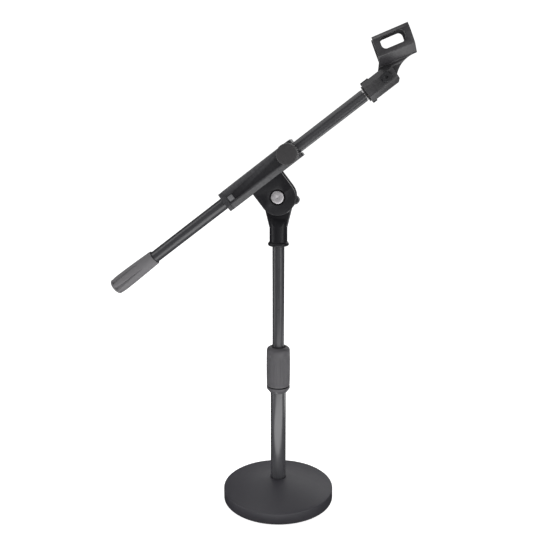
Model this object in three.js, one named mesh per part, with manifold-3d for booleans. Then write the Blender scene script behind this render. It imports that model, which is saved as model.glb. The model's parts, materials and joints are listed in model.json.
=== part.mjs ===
// Desktop boom stand for a microphone: a round cast base, a telescoping column with a twist clutch,
// a friction tilt joint, a boom that slides in a clamp sleeve, and a slotted microphone clip.
// Millimetres, +Z up, origin at the centre of the foot pad's underside. The boom lies in the
// XZ plane with the clip towards +X, and the lock knob faces -Y.

import * as THREE from 'three';
import { mergeVertices } from 'three/addons/utils/BufferGeometryUtils.js';
import Module from 'manifold-3d';

const wasm = await Module();
wasm.setup();

// ---------------------------------------------------------------- driving dimensions

const GAP = 0.3; // clearance between neighbouring pieces
const OVERLAP = 1; // how far pieces of one solid run into each other before they are joined
const PAST = 5; // how far a cutting shape reaches past what it cuts

const FACETS_LARGE = 64; // facets round the base
const FACETS = 32; // facets round tubes and turned pieces
const FACETS_SMALL = 20; // facets round bolts and small bores
const ROUND_STEPS = 4; // straight steps along a small rounded edge

// Base
const BASE_RADIUS = 59.4;
const BASE_UNDERSIDE = 1.2;
const BASE_RIM_TOP = 13.4;
const BASE_RIM_ROUND = 1.6;
const BASE_RIM_CHAMFER = 0.8;
const BASE_CROWN = 24.2;
const BASE_DOME_POWER = 1.5; // 1 is a cone, 2 is a ball's cap
const BASE_DOME_STEPS = 9;
const FOOT_RADIUS = 54;
const FOOT_THICKNESS = 2.5;
const COLUMN_SOCKET_FLOOR = 18.6;

// M8 bolts, in the base and through the tilt joint
const BOLT_RADIUS = 4;
const BOLT_BORE = 4.4;
const BOLT_HEAD_RADIUS = 7.5; // centre to corner of a 13 mm hexagon
const BOLT_HEAD_THICKNESS = 5.2;
const BASE_BOLT_TOP = 37.9;
const BASE_WASHER_RADIUS = 11;
const WASHER_THICKNESS = 1.5;

// Column
const LOWER_TUBE_RADIUS = 8;
const LOWER_TUBE_WALL = 1.2;
const LOWER_TUBE_TOP = 151.6;
const TUBE_PLUG_LENGTH = 21;
const UPPER_TUBE_RADIUS = 6;
const UPPER_TUBE_WALL = 1.1;
const UPPER_TUBE_BOTTOM = 93.6;
const UPPER_TUBE_TOP = 287.6;
const GUIDE_BUSH_LENGTH = 9.6;
const GUIDE_BUSH_SPIGOT = 12.4;
const GUIDE_BUSH_BORE = 2.5;

// Height clutch
const CLUTCH_BOTTOM = 123.2;
const CLUTCH_RING_TOP = 129;
const CLUTCH_RING_TAPER = 3.6;
const CLUTCH_RING_RADIUS = 12.3;
const CLUTCH_RADIUS = 12.5;
const CLUTCH_NECK_RADIUS = 9.7;
const CLUTCH_LIP_TOP = 153.6;
const CLUTCH_RING_GAP = 1.1;
const CLUTCH_TOP = 172.6;
const CLUTCH_SHOULDER = 3.4;
const CLUTCH_MOUTH_RADIUS = 7.2;
const COLLET_RADIUS = 9.5;
const COLLET_TIP_RADIUS = 8;
const COLLET_BAND = 1.7;
const COLLET_TOP = 166.6;
const COLLET_SLIT = 1.4;

// Mast head
const PIVOT_HEIGHT = 330;
const HEAD_BOTTOM = 280;
const HEAD_FLANGE_RADIUS = 10.7;
const HEAD_FLANGE_THICKNESS = 3.8;
const HEAD_FLANGE_EDGE = 1;
const NECK_RADIUS = 9.1;
const NECK_SHOULDER = 299.6; // where the flats on the neck start
const NECK_FLAT_LEAN = THREE.MathUtils.degToRad(31);
const NECK_TOP = 308.6;
const LUG_RADIUS = 16;
const LUG_HALF_THICKNESS = 3.8;
const LUG_CHAMFER = 1.6;
const STUD_RADIUS = 4.6;
const STUD_SHOULDER = 1.1;
const MAST_STUD_BOTTOM = 269.6;
const MAST_STUD_TOP = 298.6;

// Tilt joint, across the stand
const FRICTION_WASHER_RADIUS = 12;
const FRICTION_WASHER_THICKNESS = 0.8;
const CHEEK_RADIUS = 18;
const CHEEK_OUTSIDE = 9.5;
const TILT_HEAD_RADIUS = 6.4;
const TILT_HEAD_EDGE = 0.6;
const TILT_HEAD_PROUD = 0.3;
const TILT_RECESS_RADIUS = 8.1;
const TILT_RECESS_DEPTH = 2.5;
const TILT_BOLT_END = 21;
const TILT_WASHER_RADIUS = 9.5;
const TILT_NUT_THICKNESS = 6.5;
const HANDLE_HUB_RADIUS = 10.5;
const HANDLE_LENGTH = 12.4;
const HANDLE_EDGE = 2;
const HANDLE_REACH = 20.6;
const HANDLE_TIP_RADIUS = 4.6;
const HANDLE_WAIST = 1; // how far the wings stay inside the hub's top and bottom
const HANDLE_WING_START = 2;
const HANDLE_WING_THICKNESS = 8.4;
const HANDLE_TURN = THREE.MathUtils.degToRad(18); // the +X wing below level

// Boom
const BOOM_ANGLE = THREE.MathUtils.degToRad(37.4);
const BOOM_RISE = 27.6; // boom axis above the pivot, square to the boom
const BOOM_RADIUS = 6;
const BOOM_WALL = 1.1;
const BOOM_LOW_END = -194.3;
const BOOM_HIGH_END = 125.5;
const GRIP_END = -198.6;
const GRIP_MOUTH = -143;
const GRIP_RADIUS = 9.1;
const GRIP_END_RADIUS = 8.4;
const GRIP_MOUTH_RADIUS = 7.6;
const GRIP_ROUND = 1;
const GRIP_SWELL = 9; // from the free end to the widest place
const GRIP_TAPER_POWER = 1.4;
const GRIP_TAPER_STEPS = 5;
const PLUG_FLANGE = 1.3;
const PLUG_LENGTH = 15;

// Clamp sleeve, measured from the boom axis
const SLEEVE_LOW_END = -46.2;
const SLEEVE_HIGH_END = 44;
const SLEEVE_TOP = 10.4;
const SLEEVE_BOTTOM = -10.3;
const SLEEVE_HALF_DEPTH = 12;
const SLEEVE_EDGE = 1.2;
const SLEEVE_BEVEL_START = -5.5;
const SLEEVE_BORE = 7.6;
const RAIL_HALF_WIDTH = 6;
const RAIL_TOP = -7;
const RAIL_LOW_END = -47.2;
const RAIL_HIGH_END = 45.6;
const LOW_FLANGE_WIDTH = 4.4;
const HIGH_FLANGE_WIDTH = 1.7;
const LOW_SPIGOT_LENGTH = 10;
const HIGH_SPIGOT_LENGTH = 3.3;
const TAB_START = -40.1;
const TAB_SIZE = 5.7;

// Lock knob on the sleeve's front
const KNOB_PLACE = 34.3;
const KNOB_RADIUS = 10.7;
const KNOB_THICKNESS = 10.6;
const KNOB_ROUND = 1.6;
const KNOB_SCREW_RADIUS = 3; // M6
const KNOB_SCREW_DEPTH = 7;
const KNOB_INSERT_RADIUS = 4.6;
const CLAMP_PAD_RADIUS = 2.8;
const CLAMP_PAD_THICKNESS = 1.4;

// Clip socket, along the boom
const BOOM_STUD_START = 104;
const BOOM_STUD_END = 138.8;
const LOCK_RING_RADIUS = 8.2;
const LOCK_RING_THICKNESS = 1.2;
const SOCKET_START = 128.4;
const SOCKET_END = 160.9;
const SOCKET_HALF_HEIGHT = 10;
const SOCKET_HALF_WIDTH = 8.9;
const SOCKET_TOP_HALF_WIDTH = 5.6; // half of the flat on top and below
const SOCKET_SIDE_HALF_HEIGHT = 5.1; // half of the flat on each side
const SOCKET_END_ROUND = 7;
const SOCKET_FLOOR = 139.2;
const SOCKET_BORE = 7.7;
const SOCKET_RIB_RADIUS = 11.3;
const SOCKET_RIB_WIDTH = 3;
const SOCKET_TOP_RIB_LENGTH = 8.6;
const SOCKET_LOW_RIB_LENGTH = 4.6;
const FORK_FLOOR = 140.5;
const FORK_HALF_GAP = 4.5;

// Clip and its bolt
const CLIP_PIVOT_PLACE = 151.4;
const CLIP_PIVOT_RISE = 0.8; // above the boom axis
const CLIP_DROP = THREE.MathUtils.degToRad(15.4); // microphone axis below the boom axis
const CLIP_BOLT_RADIUS = 2.5; // M5
const CLIP_BOLT_HEAD_RADIUS = 4.8;
const CLIP_BOLT_HEAD_THICKNESS = 2.2;
const CLIP_BOLT_HEAD_EDGE = 0.8;
const CLIP_BOLT_RECESS_RADIUS = 1.7;
const CLIP_BOLT_RECESS_DEPTH = 1.2;
const CLIP_NUT_RADIUS = 4.6;
const CLIP_NUT_THICKNESS = 3.8;
const TONGUE_RADIUS = 9.2;
const TONGUE_HALF_THICKNESS = 4.2;
const TONGUE_START = THREE.MathUtils.degToRad(-45); // where its round meets the throat
const TONGUE_END = THREE.MathUtils.degToRad(-231); // where its round meets the cradle's back
const TONGUE_STEPS = 16;
const CLIP_BACK = -0.8; // ends of the cradle along the microphone axis
const CLIP_FRONT = 34.3;
const CLIP_TOP = 38.2; // heights above the fork bolt
const CLIP_CREASE = 18.7;
const CLIP_UNDERSIDE = 11.2;
const CLIP_FRONT_BOTTOM = 10.7;
const CRADLE_AXIS_HEIGHT = 27.8;
const CRADLE_BORE = 14.9;
const CRADLE_SEAT_HALF_WIDTH = 3;
const CLIP_HALF_WIDTH = 17.9;
const CLIP_CREASE_HALF_WIDTH = 17.3;
const CRADLE_STEPS = 14;
const THROAT_CENTRE = [32.5, -15.5]; // concave curve under the clip's front
const THROAT_RADIUS = 26.3;
const THROAT_END = THREE.MathUtils.degToRad(155);
const THROAT_STEPS = 10;
const SLOT_START = 5.1;
const SLOT_END = 28.5;
const SLOT_BOTTOM = 23.2;
const SLOT_TOP = 35;
const SLOT_ROUND = 4.5;

// ---------------------------------------------------------------- materials

function material(color, roughness, metalness) {
  return new THREE.MeshStandardMaterial({ color, roughness, metalness });
}

const powderCoat = () => material(0x3c3c41, 0.55, 0.2);
const blackPaint = () => material(0x232326, 0.35, 0.3);
const blackPlastic = () => material(0x202022, 0.5, 0);
const greyPlastic = () => material(0x55555a, 0.6, 0);
const rubber = () => material(0x5c5a5e, 0.85, 0);
const steel = () => material(0xb9b7bb, 0.3, 1);
const brass = () => material(0xb8924a, 0.35, 1);
const nylon = () => material(0xd8d6cc, 0.6, 0);

// ---------------------------------------------------------------- shape helpers

const AXIS_X = new THREE.Vector3(1, 0, 0);
const AXIS_Y = new THREE.Vector3(0, 1, 0);
const AXIS_Z = new THREE.Vector3(0, 0, 1);

// Turned piece round Z, from a closed outline of [radius, height] points. An outline with points on
// the axis starts and ends there.
function turned(outline, facets = FACETS) {
  const points = outline.map(([radius, height]) => new THREE.Vector2(radius, height));
  if (outline[0][0] > 0) {
    points.push(points[0].clone());
  }
  return new THREE.LatheGeometry(points, facets).rotateX(Math.PI / 2);
}

function ring(outer, inner, bottom, top, facets = FACETS) {
  return turned([[inner, bottom], [outer, bottom], [outer, top], [inner, top]], facets);
}

function rod(radius, bottom, top, facets = FACETS) {
  return turned([[0, bottom], [radius, bottom], [radius, top], [0, top]], facets);
}

// Six-sided prism along Z with a corner on +X.
function hexagon(cornerRadius, bottom, top) {
  return rod(cornerRadius, bottom, top, 6).rotateZ(Math.PI / 2);
}

// Turns a piece made along +Z so that it lies along +X, or along +Y.
const alongX = (geometry) => geometry.rotateY(Math.PI / 2);
const alongY = (geometry) => geometry.rotateX(-Math.PI / 2);

function box(lowX, highX, lowY, highY, lowZ, highZ) {
  const geometry = new THREE.BoxGeometry(highX - lowX, highY - lowY, highZ - lowZ);
  return geometry.translate((lowX + highX) / 2, (lowY + highY) / 2, (lowZ + highZ) / 2);
}

// Plate whose outline is drawn in the XZ plane, from lowY to highY.
function sidePlate(shape, lowY, highY, options = {}) {
  const geometry = new THREE.ExtrudeGeometry(shape, {
    depth: highY - lowY,
    bevelEnabled: false,
    curveSegments: FACETS_SMALL,
    ...options,
  });
  const basis = new THREE.Matrix4().makeBasis(AXIS_X, AXIS_Z, AXIS_Y.clone().negate());
  return geometry.applyMatrix4(basis).translate(0, highY, 0);
}

// Bar whose section is drawn in the YZ plane, from lowX to highX.
function sectionBar(shape, lowX, highX) {
  const geometry = new THREE.ExtrudeGeometry(shape, {
    depth: highX - lowX,
    bevelEnabled: false,
    curveSegments: FACETS_SMALL,
  });
  const basis = new THREE.Matrix4().makeBasis(AXIS_Y, AXIS_Z, AXIS_X);
  return geometry.applyMatrix4(basis).translate(lowX, 0, 0);
}

function polygon(points) {
  return new THREE.Shape(points.map(([x, y]) => new THREE.Vector2(x, y)));
}

// Closed outline that is the mirror image of itself about the vertical axis.
function mirroredPolygon(rightHalf) {
  const leftHalf = rightHalf.map(([x, y]) => [-x, y]).reverse();
  return polygon([...rightHalf, ...leftHalf]);
}

function arcPoints(centre, radius, fromAngle, toAngle, steps) {
  return Array.from({ length: steps + 1 }, (_, step) => {
    const angle = fromAngle + ((toAngle - fromAngle) * step) / steps;
    return [centre[0] + radius * Math.cos(angle), centre[1] + radius * Math.sin(angle)];
  });
}

function roundedRectangle(lowX, highX, lowY, highY, radius) {
  const quarter = Math.PI / 2;
  const corners = [
    [highX - radius, highY - radius],
    [lowX + radius, highY - radius],
    [lowX + radius, lowY + radius],
    [highX - radius, lowY + radius],
  ];
  const points = corners.flatMap((corner, turn) =>
    arcPoints(corner, radius, turn * quarter, (turn + 1) * quarter, ROUND_STEPS));
  return polygon(points);
}

// ---------------------------------------------------------------- joining and cutting

// Closed solid from a three.js geometry, with its seams merged and its empty triangles dropped.
function solid(geometry) {
  const bare = new THREE.BufferGeometry();
  bare.setAttribute('position', geometry.getAttribute('position'));
  bare.setIndex(geometry.getIndex());
  const merged = mergeVertices(bare, 1e-4);
  const corners = merged.getIndex().array;
  const triangles = [];
  for (let at = 0; at < corners.length; at += 3) {
    const [a, b, c] = corners.slice(at, at + 3);
    if (a !== b && b !== c && c !== a) {
      triangles.push(a, b, c);
    }
  }
  return new wasm.Manifold(new wasm.Mesh({
    numProp: 3,
    vertProperties: merged.getAttribute('position').array,
    triVerts: Uint32Array.from(triangles),
  }));
}

function joined(...geometries) {
  return geometries.map(solid).reduce((whole, piece) => whole.add(piece));
}

function without(body, ...geometries) {
  return geometries.map(solid).reduce((rest, tool) => rest.subtract(tool), body);
}

function within(body, limits) {
  return body.intersect(solid(limits));
}

function geometryOf(manifold) {
  const mesh = manifold.getMesh();
  const geometry = new THREE.BufferGeometry();
  geometry.setAttribute('position', new THREE.BufferAttribute(mesh.vertProperties, 3));
  geometry.setIndex(new THREE.BufferAttribute(mesh.triVerts, 1));
  return geometry;
}

function place(parent, name, geometry, finish) {
  const mesh = new THREE.Mesh(geometry, finish);
  mesh.name = name;
  parent.add(mesh);
  return mesh;
}

// ---------------------------------------------------------------- base

function baseWeight() {
  const counterboreRadius = BASE_WASHER_RADIUS + 1;
  const counterboreRoof = FOOT_THICKNESS + GAP + BOLT_HEAD_THICKNESS + WASHER_THICKNESS + 3 * GAP;
  const recessRadius = FOOT_RADIUS + GAP;
  const recessRoof = FOOT_THICKNESS + GAP;
  const socketRadius = LOWER_TUBE_RADIUS + GAP;
  const domeEdge = BASE_RADIUS - BASE_RIM_ROUND;
  const roundCentre = [domeEdge, BASE_RIM_TOP - BASE_RIM_ROUND];
  const dome = Array.from({ length: BASE_DOME_STEPS }, (_, step) => {
    const share = 1 - (step + 1) / BASE_DOME_STEPS;
    const radius = socketRadius + (domeEdge - socketRadius) * share;
    return [radius, BASE_CROWN - (BASE_CROWN - BASE_RIM_TOP) * share ** BASE_DOME_POWER];
  });
  return turned([
    [BOLT_BORE, counterboreRoof],
    [counterboreRadius, counterboreRoof],
    [counterboreRadius, recessRoof],
    [recessRadius, recessRoof],
    [recessRadius, BASE_UNDERSIDE],
    [BASE_RADIUS - BASE_RIM_CHAMFER, BASE_UNDERSIDE],
    [BASE_RADIUS, BASE_UNDERSIDE + BASE_RIM_CHAMFER],
    ...arcPoints(roundCentre, BASE_RIM_ROUND, 0, Math.PI / 2, ROUND_STEPS),
    ...dome,
    [socketRadius, COLUMN_SOCKET_FLOOR],
    [BOLT_BORE, COLUMN_SOCKET_FLOOR],
  ], FACETS_LARGE);
}

function addBase(stand) {
  const headBottom = FOOT_THICKNESS + 2 * GAP;
  const headTop = headBottom + BOLT_HEAD_THICKNESS;
  const washerBottom = headTop + GAP;
  const tubeBottom = COLUMN_SOCKET_FLOOR + GAP;
  const plugTop = tubeBottom + TUBE_PLUG_LENGTH;
  const bolt = joined(
    hexagon(BOLT_HEAD_RADIUS, headBottom, headTop),
    rod(BOLT_RADIUS, headTop - OVERLAP, BASE_BOLT_TOP, FACETS_SMALL));
  place(stand, 'base_weight', baseWeight(), powderCoat());
  place(stand, 'foot_pad', rod(FOOT_RADIUS, 0, FOOT_THICKNESS, FACETS_LARGE), rubber());
  place(stand, 'base_bolt', geometryOf(bolt), steel());
  place(stand, 'base_washer',
    ring(BASE_WASHER_RADIUS, BOLT_BORE, washerBottom, washerBottom + WASHER_THICKNESS), steel());
  place(stand, 'tube_plug',
    ring(LOWER_TUBE_RADIUS - LOWER_TUBE_WALL - GAP, BOLT_BORE, tubeBottom, plugTop), steel());
  place(stand, 'lower_tube',
    ring(LOWER_TUBE_RADIUS, LOWER_TUBE_RADIUS - LOWER_TUBE_WALL, tubeBottom, LOWER_TUBE_TOP), blackPaint());
}

// ---------------------------------------------------------------- height clutch

function clutchFerrule() {
  const boreRadius = LOWER_TUBE_RADIUS + GAP;
  const lipRadius = UPPER_TUBE_RADIUS + GAP;
  return turned([
    [boreRadius, CLUTCH_BOTTOM],
    [boreRadius + OVERLAP, CLUTCH_BOTTOM],
    [CLUTCH_RING_RADIUS, CLUTCH_BOTTOM + CLUTCH_RING_TAPER],
    [CLUTCH_RING_RADIUS, CLUTCH_RING_TOP],
    [CLUTCH_NECK_RADIUS, CLUTCH_RING_TOP],
    [CLUTCH_NECK_RADIUS, CLUTCH_LIP_TOP],
    [lipRadius, CLUTCH_LIP_TOP],
    [lipRadius, LOWER_TUBE_TOP + GAP],
    [boreRadius, LOWER_TUBE_TOP + GAP],
  ]);
}

function clutchCollet() {
  const bottom = CLUTCH_LIP_TOP + GAP;
  const boreRadius = UPPER_TUBE_RADIUS + GAP;
  const whole = solid(turned([
    [boreRadius, bottom],
    [COLLET_RADIUS, bottom],
    [COLLET_RADIUS, bottom + COLLET_BAND],
    [COLLET_TIP_RADIUS, COLLET_TOP],
    [boreRadius, COLLET_TOP],
  ]));
  const slit = box(
    0, COLLET_RADIUS + PAST,
    -COLLET_SLIT / 2, COLLET_SLIT / 2,
    bottom - PAST, COLLET_TOP + PAST);
  return geometryOf(without(whole, slit));
}

function clutchGrip() {
  const bottom = CLUTCH_RING_TOP + CLUTCH_RING_GAP;
  const boreRadius = CLUTCH_NECK_RADIUS + GAP;
  const shoulderCentre = [CLUTCH_RADIUS - CLUTCH_SHOULDER, CLUTCH_TOP - CLUTCH_SHOULDER];
  return turned([
    [boreRadius, bottom],
    [CLUTCH_RADIUS, bottom],
    ...arcPoints(shoulderCentre, CLUTCH_SHOULDER, 0, Math.PI / 2, ROUND_STEPS),
    [CLUTCH_MOUTH_RADIUS, CLUTCH_TOP],
    [CLUTCH_MOUTH_RADIUS, COLLET_TOP + GAP],
    [COLLET_TIP_RADIUS + GAP, COLLET_TOP + GAP],
    [boreRadius, CLUTCH_LIP_TOP + GAP + COLLET_BAND],
  ]);
}

function addClutch(stand) {
  place(stand, 'clutch_ferrule', clutchFerrule(), greyPlastic());
  place(stand, 'clutch_collet', clutchCollet(), nylon());
  place(stand, 'clutch_grip', clutchGrip(), greyPlastic());
}

// ---------------------------------------------------------------- mast

function guideBush() {
  const outer = LOWER_TUBE_RADIUS - LOWER_TUBE_WALL - GAP;
  const spigot = UPPER_TUBE_RADIUS - UPPER_TUBE_WALL - GAP;
  const flangeTop = UPPER_TUBE_BOTTOM - GAP;
  return turned([
    [GUIDE_BUSH_BORE, flangeTop - GUIDE_BUSH_LENGTH],
    [outer, flangeTop - GUIDE_BUSH_LENGTH],
    [outer, flangeTop],
    [spigot, flangeTop],
    [spigot, flangeTop + GUIDE_BUSH_SPIGOT],
    [GUIDE_BUSH_BORE, flangeTop + GUIDE_BUSH_SPIGOT],
  ]);
}

// Stud that is pressed into a tube's end, with a shoulder as wide as the tube.
function tubeStud(start, tubeEnd, end, tubeRadius) {
  return turned([
    [0, start],
    [STUD_RADIUS, start],
    [STUD_RADIUS, tubeEnd + GAP],
    [tubeRadius, tubeEnd + GAP],
    [tubeRadius, tubeEnd + STUD_SHOULDER],
    [STUD_RADIUS, tubeEnd + STUD_SHOULDER],
    [STUD_RADIUS, end],
    [0, end],
  ]);
}

// Side outline of the centre lug: a disc round the pivot with straight flanks down to the neck.
function lugOutline(radius, neckHalfWidth, drop) {
  const distance = Math.hypot(neckHalfWidth, drop);
  const flankLean = Math.asin(radius / distance) - Math.atan2(neckHalfWidth, drop);
  const disc = arcPoints([0, 0], radius, -flankLean, Math.PI + flankLean, FACETS_SMALL);
  return polygon([[-neckHalfWidth, -drop], [neckHalfWidth, -drop], ...disc]);
}

function mastHead() {
  const edge = HEAD_FLANGE_EDGE;
  const flangeTop = HEAD_BOTTOM + HEAD_FLANGE_THICKNESS;
  const neck = turned([
    [0, HEAD_BOTTOM],
    [HEAD_FLANGE_RADIUS - edge, HEAD_BOTTOM],
    [HEAD_FLANGE_RADIUS, HEAD_BOTTOM + edge],
    [HEAD_FLANGE_RADIUS, flangeTop - edge],
    [HEAD_FLANGE_RADIUS - edge, flangeTop],
    [NECK_RADIUS, flangeTop],
    [NECK_RADIUS, NECK_TOP],
    [0, NECK_TOP],
  ]);
  const reach = NECK_RADIUS + PAST;
  const flats = [0, Math.PI].map((side) => {
    const cutter = box(-reach, reach, 0, 2 * reach, 0, 2 * reach);
    return cutter.rotateX(NECK_FLAT_LEAN).translate(0, NECK_RADIUS, NECK_SHOULDER).rotateZ(side);
  });
  const drop = PIVOT_HEIGHT - NECK_SHOULDER;
  const outline = lugOutline(LUG_RADIUS - LUG_CHAMFER, NECK_RADIUS - LUG_CHAMFER, drop);
  const flat = LUG_HALF_THICKNESS - LUG_CHAMFER;
  const lug = sidePlate(outline, -flat, flat, {
    bevelEnabled: true,
    bevelThickness: LUG_CHAMFER,
    bevelSize: LUG_CHAMFER,
    bevelSegments: 1,
  });
  lug.translate(0, 0, PIVOT_HEIGHT);
  const pivotBore = alongY(rod(BOLT_BORE, -reach, reach, FACETS_SMALL));
  const shoulderTop = UPPER_TUBE_TOP + STUD_SHOULDER + GAP;
  return geometryOf(without(
    without(solid(neck), ...flats).add(solid(lug)),
    pivotBore.translate(0, 0, PIVOT_HEIGHT),
    rod(UPPER_TUBE_RADIUS + GAP, HEAD_BOTTOM - PAST, shoulderTop),
    rod(STUD_RADIUS + GAP, shoulderTop - OVERLAP, MAST_STUD_TOP + GAP)));
}

function addMast(stand) {
  const tubeBore = UPPER_TUBE_RADIUS - UPPER_TUBE_WALL;
  place(stand, 'guide_bush', guideBush(), nylon());
  place(stand, 'upper_tube',
    ring(UPPER_TUBE_RADIUS, tubeBore, UPPER_TUBE_BOTTOM, UPPER_TUBE_TOP), blackPaint());
  place(stand, 'mast_stud',
    tubeStud(MAST_STUD_BOTTOM, UPPER_TUBE_TOP, MAST_STUD_TOP, UPPER_TUBE_RADIUS), steel());
  place(stand, 'mast_head', mastHead(), blackPlastic());
}

// ---------------------------------------------------------------- tilt joint

function tiltBolt() {
  const headFace = -CHEEK_OUTSIDE - TILT_HEAD_PROUD;
  const headBack = -CHEEK_OUTSIDE + TILT_RECESS_DEPTH - GAP;
  return alongY(turned([
    [0, headFace],
    [TILT_HEAD_RADIUS - TILT_HEAD_EDGE, headFace],
    [TILT_HEAD_RADIUS, headFace + TILT_HEAD_EDGE],
    [TILT_HEAD_RADIUS, headBack],
    [BOLT_RADIUS, headBack],
    [BOLT_RADIUS, TILT_BOLT_END],
    [0, TILT_BOLT_END],
  ]));
}

// Rear clamp handle: a round hub with two wings, hollow for the nut and the end of the bolt.
function tiltHandle(front) {
  const hub = alongY(turned([
    [0, front],
    [HANDLE_HUB_RADIUS, front],
    [HANDLE_HUB_RADIUS, front + HANDLE_LENGTH - HANDLE_EDGE],
    [HANDLE_HUB_RADIUS - HANDLE_EDGE, front + HANDLE_LENGTH],
    [0, front + HANDLE_LENGTH],
  ]));
  const tipCentre = HANDLE_REACH - HANDLE_TIP_RADIUS;
  const waist = HANDLE_HUB_RADIUS - HANDLE_WAIST;
  const tip = (side) => arcPoints(
    [side * tipCentre, 0], HANDLE_TIP_RADIUS, -side * Math.PI / 2, (1 - side / 2) * Math.PI, 2 * ROUND_STEPS);
  const outline = polygon([...tip(1), [0, waist], ...tip(-1), [0, -waist]]);
  const wingFront = front + HANDLE_WING_START;
  const wings = sidePlate(outline, wingFront, wingFront + HANDLE_WING_THICKNESS);
  const pocketEnd = front + TILT_NUT_THICKNESS + 2 * GAP;
  return geometryOf(without(
    joined(hub, wings),
    alongY(hexagon(BOLT_HEAD_RADIUS + GAP, front - PAST, pocketEnd)),
    alongY(rod(BOLT_BORE, front, TILT_BOLT_END + 2 * GAP, FACETS_SMALL))));
}

function addTiltJoint(boom) {
  const washerInside = LUG_HALF_THICKNESS + GAP;
  const washerOutside = washerInside + FRICTION_WASHER_THICKNESS;
  const frictionWasher = (lowY, highY) => alongY(ring(FRICTION_WASHER_RADIUS, BOLT_BORE, lowY, highY));
  place(boom, 'friction_washer_front', frictionWasher(-washerOutside, -washerInside), nylon());
  place(boom, 'friction_washer_rear', frictionWasher(washerInside, washerOutside), nylon());
  place(boom, 'tilt_bolt', tiltBolt(), steel());

  const clampFace = CHEEK_OUTSIDE + GAP;
  const handleFront = clampFace + WASHER_THICKNESS + GAP;
  const nutFront = handleFront + GAP;
  const nutBack = nutFront + TILT_NUT_THICKNESS;
  place(boom, 'tilt_washer',
    alongY(ring(TILT_WASHER_RADIUS, BOLT_BORE, clampFace, clampFace + WASHER_THICKNESS)), steel());
  const nut = without(
    solid(alongY(hexagon(BOLT_HEAD_RADIUS, nutFront, nutBack))),
    alongY(rod(BOLT_RADIUS + GAP, nutFront - PAST, nutBack + PAST, FACETS_SMALL)));
  const handle = new THREE.Group();
  handle.rotation.y = BOOM_ANGLE + HANDLE_TURN;
  boom.add(handle);
  place(handle, 'tilt_nut', geometryOf(nut), steel());
  place(handle, 'tilt_handle', tiltHandle(handleFront), blackPlastic());
}

// ---------------------------------------------------------------- clamp sleeve

// Section of the sleeve: flat front and back, with leaning flanks under them.
function sleeveSection() {
  return mirroredPolygon([
    [CHEEK_OUTSIDE, SLEEVE_BOTTOM],
    [SLEEVE_HALF_DEPTH, SLEEVE_BEVEL_START],
    [SLEEVE_HALF_DEPTH, SLEEVE_TOP - SLEEVE_EDGE],
    [SLEEVE_HALF_DEPTH - SLEEVE_EDGE, SLEEVE_TOP],
  ]);
}

function cheek(lowY, highY) {
  const top = BOOM_RISE + SLEEVE_BOTTOM + OVERLAP;
  const outline = polygon([
    [CHEEK_RADIUS, top],
    [-CHEEK_RADIUS, top],
    ...arcPoints([0, 0], CHEEK_RADIUS, Math.PI, 2 * Math.PI, FACETS_SMALL),
  ]);
  return sidePlate(outline, lowY, highY);
}

function snapTab(clearance) {
  const end = TAB_START + TAB_SIZE;
  return box(
    TAB_START - clearance, end + clearance,
    -SLEEVE_HALF_DEPTH + GAP - clearance * PAST, -BOOM_RADIUS - OVERLAP,
    -TAB_SIZE / 2 - clearance, TAB_SIZE / 2 + clearance);
}

function rail(clearance) {
  return box(
    RAIL_LOW_END - clearance, RAIL_HIGH_END + clearance,
    -RAIL_HALF_WIDTH - clearance, RAIL_HALF_WIDTH + clearance,
    SLEEVE_BOTTOM - clearance, RAIL_TOP + clearance);
}

function boomSleeve() {
  const cheekInside = LUG_HALF_THICKNESS + FRICTION_WASHER_THICKNESS + 2 * GAP;
  const low = SLEEVE_LOW_END + LOW_FLANGE_WIDTH + GAP;
  const high = SLEEVE_HIGH_END - HIGH_FLANGE_WIDTH - GAP;
  const atBoom = (geometry) => geometry.translate(0, 0, BOOM_RISE);
  const reach = SLEEVE_HALF_DEPTH + PAST;
  const insertBore = alongY(rod(KNOB_INSERT_RADIUS + GAP, -reach, -BOOM_RADIUS, FACETS_SMALL));
  const headRecess = alongY(rod(TILT_RECESS_RADIUS, -reach, -CHEEK_OUTSIDE + TILT_RECESS_DEPTH));
  return geometryOf(without(
    joined(
      atBoom(sectionBar(sleeveSection(), low, high)),
      atBoom(rail(0)),
      cheek(-CHEEK_OUTSIDE, -cheekInside),
      cheek(cheekInside, CHEEK_OUTSIDE)),
    atBoom(alongX(rod(SLEEVE_BORE, SLEEVE_LOW_END - PAST, SLEEVE_HIGH_END + PAST))),
    atBoom(snapTab(GAP)),
    atBoom(insertBore).translate(KNOB_PLACE, 0, 0),
    alongY(rod(BOLT_BORE, -reach, reach, FACETS_SMALL)),
    headRecess));
}

// Plastic bushing with an end flange of the sleeve's own section and a spigot inside the sleeve.
function sleeveBushing(flangeLow, flangeHigh, spigotLow, spigotHigh, ...extras) {
  const spigot = alongX(rod(SLEEVE_BORE - GAP, spigotLow, spigotHigh));
  const bore = alongX(rod(BOOM_RADIUS + GAP, SLEEVE_LOW_END - PAST, SLEEVE_HIGH_END + PAST));
  const whole = joined(sectionBar(sleeveSection(), flangeLow, flangeHigh), spigot, ...extras);
  const bushing = without(whole, bore, rail(GAP));
  return geometryOf(bushing).translate(0, 0, BOOM_RISE);
}

function sleeveKnob(back, face) {
  const roundCentre = [KNOB_RADIUS - KNOB_ROUND, face + KNOB_ROUND];
  const body = solid(alongY(turned([
    [0, face],
    ...arcPoints(roundCentre, KNOB_ROUND, -Math.PI / 2, 0, ROUND_STEPS),
    [KNOB_RADIUS, back],
    [0, back],
  ])));
  const screwBore = alongY(rod(
    KNOB_SCREW_RADIUS + GAP, back - KNOB_SCREW_DEPTH - GAP, back + PAST, FACETS_SMALL));
  return geometryOf(without(body, screwBore));
}

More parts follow.
